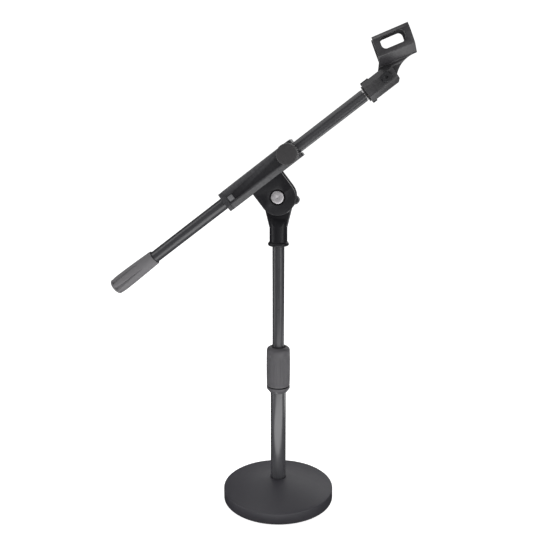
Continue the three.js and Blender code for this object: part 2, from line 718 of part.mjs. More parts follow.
function addSleeve(boom) {
  place(boom, 'boom_sleeve', boomSleeve(), blackPlastic());

  const lowFlangeEnd = SLEEVE_LOW_END + LOW_FLANGE_WIDTH;
  const lowSpigotEnd = lowFlangeEnd + LOW_SPIGOT_LENGTH;
  const highFlangeStart = SLEEVE_HIGH_END - HIGH_FLANGE_WIDTH;
  const highSpigotStart = highFlangeStart - HIGH_SPIGOT_LENGTH;
  place(boom, 'sleeve_bushing_lower',
    sleeveBushing(SLEEVE_LOW_END, lowFlangeEnd, SLEEVE_LOW_END, lowSpigotEnd, snapTab(0)), blackPlastic());
  place(boom, 'sleeve_bushing_upper',
    sleeveBushing(highFlangeStart, SLEEVE_HIGH_END, highSpigotStart, SLEEVE_HIGH_END), blackPlastic());

  const lock = new THREE.Group();
  lock.position.set(KNOB_PLACE, 0, BOOM_RISE);
  boom.add(lock);
  const padInside = -BOOM_RADIUS - GAP;
  const padOutside = padInside - CLAMP_PAD_THICKNESS;
  const insertFace = -SLEEVE_HALF_DEPTH + GAP;
  const insertEnd = -SLEEVE_BORE - GAP;
  const screwBore = KNOB_SCREW_RADIUS + GAP;
  const knobBack = -SLEEVE_HALF_DEPTH - 2 * GAP;
  const screwEnd = knobBack - KNOB_SCREW_DEPTH;
  place(lock, 'clamp_pad',
    alongY(rod(CLAMP_PAD_RADIUS, padOutside, padInside, FACETS_SMALL)), nylon());
  place(lock, 'knob_insert',
    alongY(ring(KNOB_INSERT_RADIUS, screwBore, insertFace, insertEnd, FACETS_SMALL)), brass());
  place(lock, 'knob_screw',
    alongY(rod(KNOB_SCREW_RADIUS, screwEnd, padOutside - GAP, FACETS_SMALL)), steel());
  place(lock, 'sleeve_knob', sleeveKnob(knobBack, knobBack - KNOB_THICKNESS), greyPlastic());
}

// ---------------------------------------------------------------- boom

function boomGrip() {
  const bore = BOOM_RADIUS + GAP;
  const wall = BOOM_LOW_END - PLUG_FLANGE - 2 * GAP;
  const swell = GRIP_END + GRIP_SWELL;
  const taper = Array.from({ length: GRIP_TAPER_STEPS }, (_, step) => {
    const share = (step + 1) / GRIP_TAPER_STEPS;
    const along = swell + (GRIP_MOUTH - GRIP_ROUND - swell) * share;
    return [GRIP_RADIUS - (GRIP_RADIUS - GRIP_MOUTH_RADIUS) * share ** GRIP_TAPER_POWER, along];
  });
  return alongX(turned([
    [0, GRIP_END],
    [GRIP_END_RADIUS - GRIP_ROUND, GRIP_END],
    [GRIP_END_RADIUS, GRIP_END + GRIP_ROUND],
    [GRIP_RADIUS, swell],
    ...taper,
    [GRIP_MOUTH_RADIUS - GRIP_ROUND / 2, GRIP_MOUTH],
    [bore, GRIP_MOUTH],
    [bore, wall],
    [0, wall],
  ]));
}

function boomPlug() {
  const flangeInside = BOOM_LOW_END - GAP;
  const spigot = BOOM_RADIUS - BOOM_WALL - GAP;
  return alongX(turned([
    [0, flangeInside - PLUG_FLANGE],
    [BOOM_RADIUS, flangeInside - PLUG_FLANGE],
    [BOOM_RADIUS, flangeInside],
    [spigot, flangeInside],
    [spigot, flangeInside + PLUG_LENGTH],
    [0, flangeInside + PLUG_LENGTH],
  ]));
}

function addBoom(boom) {
  const axis = new THREE.Group();
  axis.position.z = BOOM_RISE;
  boom.add(axis);
  place(axis, 'boom_tube',
    alongX(ring(BOOM_RADIUS, BOOM_RADIUS - BOOM_WALL, BOOM_LOW_END, BOOM_HIGH_END)), blackPaint());
  place(axis, 'boom_grip', boomGrip(), rubber());
  place(axis, 'boom_plug', boomPlug(), blackPlastic());
  place(axis, 'boom_stud',
    alongX(tubeStud(BOOM_STUD_START, BOOM_HIGH_END, BOOM_STUD_END, BOOM_RADIUS)), steel());
  const ringEnd = SOCKET_START - GAP;
  place(axis, 'lock_ring',
    alongX(ring(LOCK_RING_RADIUS, STUD_RADIUS + GAP, ringEnd - LOCK_RING_THICKNESS, ringEnd)), blackPaint());
  return axis;
}

// ---------------------------------------------------------------- clip socket

function clipSocket() {
  const prism = sectionBar(mirroredPolygon([
    [SOCKET_TOP_HALF_WIDTH, -SOCKET_HALF_HEIGHT],
    [SOCKET_HALF_WIDTH, -SOCKET_SIDE_HALF_HEIGHT],
    [SOCKET_HALF_WIDTH, SOCKET_SIDE_HALF_HEIGHT],
    [SOCKET_TOP_HALF_WIDTH, SOCKET_HALF_HEIGHT],
  ]), SOCKET_START, SOCKET_END);
  const reach = SOCKET_RIB_RADIUS + PAST;
  const sideOutline = roundedRectangle(
    SOCKET_START - 2 * PAST, SOCKET_END, -SOCKET_HALF_HEIGHT, SOCKET_HALF_HEIGHT, SOCKET_END_ROUND);
  const body = within(solid(prism), sidePlate(sideOutline, -reach, reach));
  const ribs = [[0, SOCKET_TOP_RIB_LENGTH], [Math.PI, SOCKET_LOW_RIB_LENGTH]].map(([side, length]) => {
    const rib = box(
      SOCKET_START, SOCKET_START + length,
      -SOCKET_RIB_WIDTH / 2, SOCKET_RIB_WIDTH / 2,
      SOCKET_BORE + OVERLAP, SOCKET_RIB_RADIUS);
    return solid(rib.rotateX(side));
  });
  const ribbed = ribs.reduce((whole, rib) => whole.add(rib), body);
  const boltBore = alongY(rod(CLIP_BOLT_RADIUS + GAP, -reach, reach, FACETS_SMALL));
  return geometryOf(without(
    ribbed,
    alongX(rod(SOCKET_BORE, SOCKET_START - PAST, SOCKET_FLOOR)),
    box(FORK_FLOOR, SOCKET_END + PAST, -FORK_HALF_GAP, FORK_HALF_GAP, -reach, reach),
    boltBore.translate(CLIP_PIVOT_PLACE, 0, CLIP_PIVOT_RISE)));
}

function clipBolt(earFace) {
  const headBack = -earFace - GAP;
  const headFace = headBack - CLIP_BOLT_HEAD_THICKNESS;
  const end = earFace + CLIP_NUT_THICKNESS + 2 * GAP;
  const body = solid(alongY(turned([
    [0, headFace],
    [CLIP_BOLT_HEAD_RADIUS - CLIP_BOLT_HEAD_EDGE, headFace],
    [CLIP_BOLT_HEAD_RADIUS, headFace + CLIP_BOLT_HEAD_EDGE],
    [CLIP_BOLT_HEAD_RADIUS, headBack],
    [CLIP_BOLT_RADIUS, headBack],
    [CLIP_BOLT_RADIUS, end],
    [0, end],
  ], FACETS_SMALL)));
  const recessEnd = headFace + CLIP_BOLT_RECESS_DEPTH;
  return geometryOf(without(body, alongY(hexagon(CLIP_BOLT_RECESS_RADIUS, headFace - PAST, recessEnd))));
}

function addClipSocket(axis) {
  place(axis, 'clip_socket', clipSocket(), greyPlastic());
  place(axis, 'thread_insert', alongX(ring(
    SOCKET_BORE - GAP, STUD_RADIUS + GAP, SOCKET_START + GAP, SOCKET_FLOOR - GAP)), brass());

  const bolt = new THREE.Group();
  bolt.position.set(CLIP_PIVOT_PLACE, 0, CLIP_PIVOT_RISE);
  axis.add(bolt);
  const earFace = SOCKET_HALF_WIDTH;
  const nutFront = earFace + GAP;
  const nutBack = nutFront + CLIP_NUT_THICKNESS;
  const nut = without(
    solid(alongY(hexagon(CLIP_NUT_RADIUS, nutFront, nutBack))),
    alongY(rod(CLIP_BOLT_RADIUS + GAP, nutFront - PAST, nutBack + PAST, FACETS_SMALL)));
  place(bolt, 'clip_bolt', clipBolt(earFace), blackPaint());
  place(bolt, 'clip_nut', geometryOf(nut), steel());
}

// ---------------------------------------------------------------- microphone clip
// The clip's own X is the microphone axis and its origin is the fork bolt.

// Side outline: cradle above, concave throat under its front, round tongue at the bolt.
function clipSideOutline() {
  const throatTop = Math.atan2(CLIP_FRONT_BOTTOM - THROAT_CENTRE[1], CLIP_FRONT - THROAT_CENTRE[0]);
  return polygon([
    [CLIP_BACK, CLIP_TOP],
    [CLIP_FRONT, CLIP_TOP],
    ...arcPoints(THROAT_CENTRE, THROAT_RADIUS, throatTop, THROAT_END, THROAT_STEPS),
    ...arcPoints([0, 0], TONGUE_RADIUS, TONGUE_START, TONGUE_END, TONGUE_STEPS),
    [CLIP_BACK, CLIP_CREASE],
  ]);
}

// End outline, square to the microphone axis: tongue, leaning underside, crease and curved wings.
function clipEndOutline() {
  const wingTop = Math.asin((CLIP_TOP - CRADLE_AXIS_HEIGHT) / CLIP_HALF_WIDTH);
  const wing = arcPoints([0, CRADLE_AXIS_HEIGHT], CLIP_HALF_WIDTH, 0, wingTop, ROUND_STEPS);
  const [topHalfWidth] = wing[wing.length - 1];
  return mirroredPolygon([
    [TONGUE_HALF_THICKNESS, -TONGUE_RADIUS - PAST],
    [TONGUE_HALF_THICKNESS, CLIP_UNDERSIDE],
    [CLIP_CREASE_HALF_WIDTH, CLIP_CREASE],
    ...wing,
    [topHalfWidth, CLIP_TOP + PAST],
  ]);
}

// Section of the space for the microphone: round, with a flat seat at the bottom.
function cradleBore() {
  const seatAngle = Math.asin(CRADLE_SEAT_HALF_WIDTH / CRADLE_BORE);
  const top = Math.asin((CLIP_TOP - CRADLE_AXIS_HEIGHT) / CRADLE_BORE);
  const wall = arcPoints([0, CRADLE_AXIS_HEIGHT], CRADLE_BORE, seatAngle - Math.PI / 2, top, CRADLE_STEPS);
  const [mouthHalfWidth] = wall[wall.length - 1];
  return mirroredPolygon([...wall, [mouthHalfWidth, CLIP_TOP + PAST]]);
}

function micClip() {
  const reach = CLIP_HALF_WIDTH + PAST;
  const body = within(
    solid(sidePlate(clipSideOutline(), -reach, reach)),
    sectionBar(clipEndOutline(), CLIP_BACK - 2 * TONGUE_RADIUS, CLIP_FRONT + PAST));
  const slots = sidePlate(
    roundedRectangle(SLOT_START, SLOT_END, SLOT_BOTTOM, SLOT_TOP, SLOT_ROUND), -reach, reach);
  const boltBore = alongY(rod(CLIP_BOLT_RADIUS + GAP, -reach, reach, FACETS_SMALL));
  const cradle = sectionBar(cradleBore(), CLIP_BACK - PAST, CLIP_FRONT + PAST);
  return geometryOf(without(body, cradle, slots, boltBore));
}

function addClip(axis) {
  const clip = new THREE.Group();
  clip.position.set(CLIP_PIVOT_PLACE, 0, CLIP_PIVOT_RISE);
  clip.rotation.y = CLIP_DROP;
  axis.add(clip);
  place(clip, 'mic_clip', micClip(), blackPlastic());
}

// ---------------------------------------------------------------- the stand

const stand = new THREE.Group();
addBase(stand);
addClutch(stand);
addMast(stand);

const boom = new THREE.Group(); // its origin is the tilt pivot and its X runs along the boom
boom.position.z = PIVOT_HEIGHT;
boom.rotation.y = -BOOM_ANGLE;
stand.add(boom);
addTiltJoint(boom);
addSleeve(boom);
const boomAxis = addBoom(boom);
addClipSocket(boomAxis);
addClip(boomAxis);

export default stand;
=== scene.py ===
"""Looks of a desktop microphone boom stand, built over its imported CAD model.

Every shape is modelled in millimetres in the local frame of the column, the boom, the tilt pivot or the clip,
then placed by that frame. Sizes come from the CAD nodes where their boxes give them.
"""

import json
import math

import bmesh
import bpy
from mathutils import Matrix, Vector


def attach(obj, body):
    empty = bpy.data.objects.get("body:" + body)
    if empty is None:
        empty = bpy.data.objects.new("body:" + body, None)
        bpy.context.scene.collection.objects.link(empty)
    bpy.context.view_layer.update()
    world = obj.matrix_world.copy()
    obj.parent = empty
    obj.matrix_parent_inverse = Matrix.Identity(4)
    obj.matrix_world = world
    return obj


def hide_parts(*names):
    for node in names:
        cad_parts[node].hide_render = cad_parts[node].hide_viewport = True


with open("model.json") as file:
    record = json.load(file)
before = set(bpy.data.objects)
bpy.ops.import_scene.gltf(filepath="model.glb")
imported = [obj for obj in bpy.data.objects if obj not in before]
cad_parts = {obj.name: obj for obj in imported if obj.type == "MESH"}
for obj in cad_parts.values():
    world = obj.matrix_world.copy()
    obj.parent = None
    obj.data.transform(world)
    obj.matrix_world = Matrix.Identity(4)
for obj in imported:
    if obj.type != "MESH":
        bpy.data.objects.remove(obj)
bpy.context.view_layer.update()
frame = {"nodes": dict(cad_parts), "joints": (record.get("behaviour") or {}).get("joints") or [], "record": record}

MM = 0.001
FACETS = 96  # round a turned piece
SMOOTH_ANGLE = math.radians(32)  # edges sharper than this stay sharp
PAST = 5  # how far a cutting shape reaches past what it cuts
GAP = 0.3  # clearance between neighbouring pieces

# ---------------------------------------------------------------- local frames

ACROSS = Vector((0, 1, 0))
JOINTS = {joint["name"]: joint for joint in frame["joints"]}
MOUNTS = {mount["name"]: mount for mount in frame["record"]["mounts"]}


def place_at(joint_name, along):
    """Frame at a joint, with X along a direction in the XZ plane, Y across the stand and Z up from X."""
    turn = Matrix((along, ACROSS, along.cross(ACROSS))).transposed().to_4x4()
    return Matrix.Translation(JOINTS[joint_name]["pos_m"]) @ turn


BOOM_ALONG = Vector(JOINTS["boom_slide"]["axis"]).normalized()
CLIP_ALONG = ACROSS.cross(Vector(MOUNTS["mic_seat"]["axis"])).normalized()
COLUMN = Matrix.Identity(4)
MAST_TOP = place_at("boom_tilt", Vector((1, 0, 0)))
BOOM = place_at("boom_roll", BOOM_ALONG)
TILT = place_at("boom_tilt", BOOM_ALONG)
HANDLE = MAST_TOP @ Matrix.Rotation(math.radians(18), 4, "Y")
FORK = place_at("clip_tilt", BOOM_ALONG)
CLIP = place_at("clip_tilt", CLIP_ALONG)


def span(node, place=COLUMN):
    """Lowest and highest corner of a CAD node in a local frame, in millimetres."""
    inverse = place.inverted()
    points = [inverse @ vertex.co / MM for vertex in frame["nodes"][node].data.vertices]
    low = Vector([min(point[axis] for point in points) for axis in range(3)])
    high = Vector([max(point[axis] for point in points) for axis in range(3)])
    return low, high


# ---------------------------------------------------------------- shapes


def arc(centre, radius, start, end, steps):
    """Points on a circle from one angle to another, in degrees."""
    angles = [math.radians(start + (end - start) * step / steps) for step in range(steps + 1)]
    return [(centre[0] + radius * math.cos(a), centre[1] + radius * math.sin(a)) for a in angles]


def outline(corners, steps=5):
    """Closed outline through (a, b) corners. A third number rounds that corner to that radius."""
    points = []
    for index, corner in enumerate(corners):
        here = Vector(corner[:2])
        if len(corner) == 2:
            points.append(tuple(here))
            continue
        radius = corner[2]
        back = (Vector(corners[index - 1][:2]) - here).normalized()
        ahead = (Vector(corners[(index + 1) % len(corners)][:2]) - here).normalized()
        half = back.angle(ahead) / 2
        centre = here + (back + ahead).normalized() * radius / math.sin(half)
        start = here + back * radius / math.tan(half) - centre
        turn = math.pi - 2 * half
        sense = 1 if back.x * ahead.y - back.y * ahead.x < 0 else -1
        for step in range(steps + 1):
            angle = math.atan2(start.y, start.x) + sense * turn * step / steps
            points.append((centre.x + radius * math.cos(angle), centre.y + radius * math.sin(angle)))
    return points


def mirrored(right_half):
    """Outline corners with their mirror image in the vertical axis."""
    left_half = [(-corner[0], *corner[1:]) for corner in reversed(right_half)]
    return [*right_half, *left_half]


def turned(points, facets=FACETS, swell=None):
    """Solid round local Z from (radius, height) points that start and end on the axis or close on themselves.

    swell(angle, radius, height) gives the radius at an angle where the piece isn't plainly round.
    """
    shape = bmesh.new()
    rings = []
    for radius, height in points:
        if radius == 0:
            rings.append([shape.verts.new((0, 0, height))])
            continue
        ring = []
        for facet in range(facets):
            angle = 2 * math.pi * facet / facets
            reach = swell(angle, radius, height) if swell else radius
            ring.append(shape.verts.new((reach * math.cos(angle), reach * math.sin(angle), height)))
        rings.append(ring)
    pairs = list(zip(rings, rings[1:]))
    if len(rings[0]) > 1:
        pairs.append((rings[-1], rings[0]))
    for lower, upper in pairs:
        for facet in range(facets):
            after = (facet + 1) % facets
            corners = [lower[facet % len(lower)], lower[after % len(lower)]]
            corners += [upper[after % len(upper)], upper[facet % len(upper)]]
            unique = list(dict.fromkeys(corners))
            if len(unique) > 2:
                shape.faces.new(unique)
    bmesh.ops.recalc_face_normals(shape, faces=shape.faces)
    return shape


def rod(radius, low, high, facets=FACETS // 2):
    return turned([(0, low), (radius, low), (radius, high), (0, high)], facets)


def hexagon(corner_radius, low, high):
    """Six-sided prism along Z with a corner on +X."""
    return rod(corner_radius, low, high, 6)


def tube(outer, inner, low, high, edge):
    return turned(outline([(inner, low, edge), (outer, low, edge), (outer, high, edge), (inner, high, edge)], 3))


def prism(points, low, high, edge, to_space):
    """Solid between two copies of an outline. edge rounds the rims of both ends."""
    shape = bmesh.new()
    near, far = [[shape.verts.new(to_space(a, b, depth)) for a, b in points] for depth in (low, high)]
    caps = [shape.faces.new(near), shape.faces.new(far)]
    for index in range(len(points)):
        shape.faces.new([near[index - 1], near[index], far[index], far[index - 1]])
    bmesh.ops.recalc_face_normals(shape, faces=shape.faces)
    if edge:
        rims = list({rim for cap in caps for rim in cap.edges})
        bmesh.ops.bevel(shape, geom=rims, offset=edge, segments=3, profile=0.5, affect="EDGES", clamp_overlap=True)
    return shape


def plate(points, low, high, edge=0):
    """Solid whose outline is drawn in the XZ plane, between two places across."""
    return prism(points, low, high, edge, lambda a, b, depth: (a, depth, b))


def bar(points, low, high, edge=0):
    """Solid whose section is drawn in the YZ plane, between two places along X."""
    return prism(points, low, high, edge, lambda a, b, depth: (depth, a, b))


def block(low, high, edge=0):
    corners = [(low[0], low[2]), (high[0], low[2]), (high[0], high[2]), (low[0], high[2])]
    return plate(corners, low[1], high[1], edge)


def moved(shape, matrix):
    bmesh.ops.transform(shape, matrix=matrix, verts=shape.verts)
    return shape


def along_x(shape):
    return moved(shape, Matrix.Rotation(math.radians(90), 4, "Y"))


def along_y(shape):
    return moved(shape, Matrix.Rotation(math.radians(-90), 4, "X"))


def shifted(shape, x, y, z):
    return moved(shape, Matrix.Translation((x, y, z)))


# ---------------------------------------------------------------- joining, cutting and rounding


def temporary(shape):
    mesh = bpy.data.meshes.new("temporary")
    shape.to_mesh(mesh)
    shape.free()
    obj = bpy.data.objects.new("temporary", mesh)
    bpy.context.scene.collection.objects.link(obj)
    return obj


def evaluated(obj):
    """The object's mesh with its modifiers applied, as a bmesh."""
    shape = bmesh.new()
    bpy.context.view_layer.update()
    shape.from_object(obj, bpy.context.evaluated_depsgraph_get())
    return shape


def combined(shape, operation, others):
    base = temporary(shape)
    tools = [temporary(other) for other in others]
    for tool in tools:
        modifier = base.modifiers.new("combine", "BOOLEAN")
        modifier.operation = operation
        modifier.solver = "EXACT"
        modifier.object = tool
    result = evaluated(base)
    for obj in [base, *tools]:
        bpy.data.objects.remove(obj)
    bmesh.ops.dissolve_degenerate(result, dist=1e-4, edges=result.edges)
    return result


def joined(shape, *others):
    return combined(shape, "UNION", others)


def cut(shape, *tools):
    return combined(shape, "DIFFERENCE", tools)


def common(shape, *others):
    return combined(shape, "INTERSECT", others)


def softened(shape, width, angle=35, segments=2):
    """Rounds every edge sharper than an angle in degrees."""
    obj = temporary(shape)
    modifier = obj.modifiers.new("soften", "BEVEL")
    modifier.width = width
    modifier.segments = segments
    modifier.limit_method = "ANGLE"
    modifier.angle_limit = math.radians(angle)
    modifier.use_clamp_overlap = True
    modifier.miter_outer = "MITER_ARC"
    result = evaluated(obj)
    bpy.data.objects.remove(obj)
    return result


# ---------------------------------------------------------------- finishes


class Finish:
    """A procedural surface that is built from nodes round one Principled shader."""

    def __init__(self, name):
        self.material = bpy.data.materials.new(name)
        self.material.use_nodes = True
        self.tree = self.material.node_tree
        self.shader = self.tree.nodes["Principled BSDF"]
        self.place = self.add("ShaderNodeTexCoord").outputs["Object"]

    def add(self, kind, inputs=None, **settings):
        made = self.tree.nodes.new(kind)
        for name, value in settings.items():
            setattr(made, name, value)
        for socket, value in (inputs or {}).items():
            self.feed(made.inputs[socket], value)
        return made

    def feed(self, socket, value):
        if isinstance(value, bpy.types.NodeSocket):
            self.tree.links.new(value, socket)
        else:
            socket.default_value = value

    def math(self, operation, first, second):
        return self.add("ShaderNodeMath", {0: first, 1: second}, operation=operation).outputs[0]

    def scaled_place(self, stretch):
        return self.add("ShaderNodeMapping", {"Vector": self.place, "Scale": stretch}).outputs[0]

    def noise(self, size_mm, detail=4, stretch=(1, 1, 1)):
        """Noise from 0 to 1 whose features are about that many millimetres across."""
        inputs = {"Vector": self.scaled_place(stretch), "Scale": 1000 / size_mm, "Detail": detail}
        return self.add("ShaderNodeTexNoise", inputs).outputs["Fac"]

    def between(self, value, low, high):
        """Maps 0 to 1 onto low to high."""
        inputs = {"Value": value, "To Min": low, "To Max": high}
        return self.add("ShaderNodeMapRange", inputs).outputs["Result"]

    def edge_highlight_and_wear(self, start, amount):
        """0 on flats, rising to amount on outer edges, broken up by noise. It is a painted edge highlight, together
        with wear.
        """
        pointiness = self.add("ShaderNodeNewGeometry").outputs["Pointiness"]
        edge = self.add("ShaderNodeMapRange", {"Value": pointiness, "From Min": start, "From Max": start + 0.06})
        return self.math("MULTIPLY", edge.outputs["Result"], self.between(self.noise(2.5), 0.2 * amount, amount))

    def tint(self, colour, variation, highlight_and_wear=None, highlight_and_wear_colour=None):
        tone = self.between(self.noise(18, detail=3), 1 - variation, 1 + variation)
        base = self.add("ShaderNodeVectorMath", {0: colour, "Scale": tone}, operation="SCALE").outputs[0]
        # Outer edges mixed toward a lighter colour: a painted edge highlight together with wear.
        if highlight_and_wear is not None:
            mix = self.add("ShaderNodeMix", data_type="RGBA")
            self.feed(mix.inputs["Factor"], highlight_and_wear)
            self.feed(mix.inputs["A"], base)
            self.feed(mix.inputs["B"], (*highlight_and_wear_colour, 1))
            base = mix.outputs["Result"]
        self.feed(self.shader.inputs["Base Color"], base)

    def roughen(self, low, high, patches):
        self.feed(self.shader.inputs["Roughness"], self.between(patches, low, high))

    def bump(self, *layers):
        """Adds height layers, each (height, depth in millimetres)."""
        normal = None
        for height, depth in layers:
            inputs = {"Height": height, "Distance": depth * MM, "Strength": 1.0}
            if normal is not None:
                inputs["Normal"] = normal
            normal = self.add("ShaderNodeBump", inputs).outputs["Normal"]
        self.feed(self.shader.inputs["Normal"], normal)

    def set(self, **values):
        for name, value in values.items():
            self.shader.inputs[name.replace("_", " ")].default_value = value


def powder_coat():
    """Cast iron under a fine leathery powder coat."""
    finish = Finish("cast_base")
    grain = finish.noise(0.9, detail=3)
    finish.tint((0.030, 0.029, 0.035), 0.07)
    finish.roughen(0.42, 0.54, finish.noise(9))
    finish.bump((finish.noise(30, detail=2), 0.05), (grain, 0.02))
    finish.set(Specular_IOR_Level=0.5)
    return finish.material


def tube_paint():
    """Satin black paint on drawn tube, with faint draw lines and rubbed streaks."""
    finish = Finish("tube_paint")
    lines = finish.noise(0.8, detail=2, stretch=(0.05, 1, 0.05))
    finish.tint((0.030, 0.030, 0.033), 0.1)
    finish.roughen(0.24, 0.36, finish.noise(7))
    finish.bump((lines, 0.002), (finish.noise(0.6), 0.002))
    finish.set(Specular_IOR_Level=0.6)
    return finish.material


def column_paint():
    """The tube paint where it is polished by sliding."""
    finish = Finish("column_paint")
    finish.tint((0.040, 0.040, 0.044), 0.1)
    finish.roughen(0.2, 0.3, finish.noise(6, stretch=(1, 1, 0.3)))
    finish.bump((finish.noise(0.9, detail=2, stretch=(1, 1, 0.05)), 0.002))
    finish.set(Specular_IOR_Level=0.9)
    return finish.material


def moulded(name, colour, low, high, edge_highlight_and_wear_colour, highlight_and_wear=0.5, shine=0.5):
    """Moulded plastic with a fine spark texture, and outer edges painted lighter as a highlight together with polish
    from wear.
    """
    finish = Finish(name)
    finish.set(Specular_IOR_Level=shine)
    finish.tint(colour, 0.08, finish.edge_highlight_and_wear(0.52, highlight_and_wear), edge_highlight_and_wear_colour)
    finish.roughen(low, high, finish.noise(5))
    finish.bump((finish.noise(12, detail=2), 0.02), (finish.noise(0.5, detail=3), 0.002))
    return finish.material


def soft_rubber(name, colour):
    finish = Finish(name)
    finish.tint(colour, 0.09)
    finish.roughen(0.6, 0.8, finish.noise(4))
    finish.bump((finish.noise(0.6, detail=3), 0.006), (finish.noise(7, detail=2), 0.02))
    finish.set(Specular_IOR_Level=0.35)
    return finish.material


def bare_metal(name, colour, low, high, stretch=(1, 1, 1)):
    """Turned or rolled metal with fine tool marks."""
    finish = Finish(name)
    finish.tint(colour, 0.06)
    finish.roughen(low, high, finish.noise(1.5, stretch=stretch))
    finish.bump((finish.noise(0.5, detail=3, stretch=stretch), 0.002))
    finish.set(Metallic=1.0)
    return finish.material


def black_oxide():
    finish = Finish("black_metal")
    # Outer edges lightened toward grey: a painted edge highlight together with worn metal.
    finish.tint((0.02, 0.02, 0.022), 0.1, finish.edge_highlight_and_wear(0.55, 0.3), (0.2, 0.2, 0.2))
    finish.roughen(0.3, 0.45, finish.noise(2))
    finish.bump((finish.noise(0.5), 0.002))
    finish.set(Metallic=0.3)
    return finish.material


FINISHES = {
    "cast_base": powder_coat(),
    "tube_paint": tube_paint(),
    "column_paint": column_paint(),
    # The grey colour and the amount after the roughness paint a highlight on outer edges, together with wear.
    "black_plastic": moulded("black_plastic", (0.006, 0.0058, 0.0075), 0.34, 0.46, (0.25, 0.25, 0.26), 0.6, 0.32),
    "grey_plastic": moulded("grey_plastic", (0.048, 0.046, 0.051), 0.45, 0.6, (0.2, 0.2, 0.2)),
    "knob_plastic": moulded("knob_plastic", (0.026, 0.0245, 0.026), 0.5, 0.6, (0.4, 0.4, 0.4), 0.9),
    "socket_plastic": moulded("socket_plastic", (0.014, 0.0132, 0.0155), 0.34, 0.46, (0.2, 0.2, 0.2)),
    "clip_plastic": moulded("clip_plastic", (0.013, 0.012, 0.0145), 0.36, 0.5, (0.2, 0.2, 0.2)),
    "nylon": moulded("nylon", (0.62, 0.61, 0.56), 0.4, 0.5, (0.7, 0.7, 0.66)),
    "grip_rubber": soft_rubber("grip_rubber", (0.105, 0.102, 0.107)),
    "foot_rubber": soft_rubber("foot_rubber", (0.02, 0.02, 0.02)),
    "steel": bare_metal("steel", (0.52, 0.51, 0.52), 0.25, 0.4),
    "bright_steel": bare_metal("bright_steel", (0.72, 0.70, 0.72), 0.5, 0.6),
    "brass": bare_metal("brass", (0.66, 0.46, 0.2), 0.25, 0.4),
    "black_metal": black_oxide(),
}


def piece(name, shape, place, body, slot, nodes, finish=None):
    """Places a shape, gives it its finish and lets it stand for CAD nodes."""
    obj = temporary(shape)
    obj.name = name
    obj.data.name = name
    obj.data.transform(Matrix.Scale(MM, 4))
    obj.matrix_world = place
    obj.data.shade_smooth()
    obj.data.set_sharp_from_angle(angle=SMOOTH_ANGLE)
    obj.data.materials.append(FINISHES[finish or slot])
    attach(obj, body)
    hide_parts(*nodes)
    return obj


# ---------------------------------------------------------------- base and lower tube

BASE_RIM_HEIGHT = 12.2
DOME_EDGE = 1.6  # the rounded edge between rim and dome
DOME_POWER = 1.5  # 1 is a cone, 2 is a ball's cap
BOLT_BORE = 4.4
COUNTERBORE_RADIUS = 12
COUNTERBORE_ROOF = 10.4
PAINT = 0.15  # thickness of the paint on the tubes
COLUMN_SOCKET_RADIUS = 8.3


def build_base():
    low, high = span("base_weight")
    foot_low, foot_high = span("foot_pad")
    radius = high.x
    rim_top = low.z + BASE_RIM_HEIGHT
    recess = foot_high.x + GAP
    roof = foot_high.z + GAP
    socket_floor = span("lower_tube")[0].z - GAP
    dome_start = radius - DOME_EDGE
    steps = 24
    dome = []
    for step in range(1, steps + 1):
        share = 1 - step / steps
        height = high.z - (high.z - rim_top) * share**DOME_POWER
        dome.append((COLUMN_SOCKET_RADIUS + 0.4 + (dome_start - COLUMN_SOCKET_RADIUS - 0.4) * share, height))
    profile = [
        *outline([(BOLT_BORE, COUNTERBORE_ROOF), (COUNTERBORE_RADIUS, COUNTERBORE_ROOF), (COUNTERBORE_RADIUS, roof)]),
        (recess, roof),
        (recess, low.z),
        *arc((radius - 0.8, low.z + 0.8), 0.8, -90, 0, 4),
        *arc((radius - 0.9, rim_top - 1.1), 0.9, 0, 60, 4),
        *dome,
        (COLUMN_SOCKET_RADIUS, high.z - 0.4),
        (COLUMN_SOCKET_RADIUS, socket_floor),
        (BOLT_BORE, socket_floor),
    ]
    piece("base_casting", turned(profile, 2 * FACETS), COLUMN, "stand_base", "cast_base", ["base_weight"])

    groove = 0.35
    pad = [(0, foot_low.z)]
    for inner in range(6, int(foot_high.x) - 4, 6):
        pad += [(inner, foot_low.z), (inner + 0.5, groove), (inner + 1.5, groove), (inner + 2, foot_low.z)]
    pad += arc((foot_high.x - 0.5, foot_low.z + 0.5), 0.5, -90, 0, 4)
    pad += [(foot_high.x, foot_high.z), (0, foot_high.z)]
    piece("foot_disc", turned(pad, 2 * FACETS), COLUMN, "stand_base", "foot_rubber", ["foot_pad"])


def build_tube(name, node, wall, body, finish):
    low, high = span(node)
    shape = tube(high.x + PAINT, high.x - wall, low.z, high.z, 0.25)
    piece(name, shape, COLUMN, body, "tube_paint", [node], finish)


# ---------------------------------------------------------------- height clutch

CLUTCH_RING_GAP = 1.1
CLUTCH_RING_TAPER = 3.6
CLUTCH_NECK_RADIUS = 9.7
CLUTCH_SHOULDER = 4
CLUTCH_RIBS = 48
CLUTCH_RIB_DEPTH = 0.3
CLUTCH_RIBS_START = 132
CLUTCH_RIBS_END = 165


def clutch_ribs(angle, radius, height):
    """Fine upright ribs on the middle of the clutch grip, fading at both ends."""
    if radius < CLUTCH_NECK_RADIUS + 2:
        return radius
    fade = min(1, max(0, (height - CLUTCH_RIBS_START) / 2), max(0, (CLUTCH_RIBS_END - height) / 2))
    fade = max(0, fade)
    return radius - CLUTCH_RIB_DEPTH * fade * (0.5 - 0.5 * math.cos(CLUTCH_RIBS * angle))


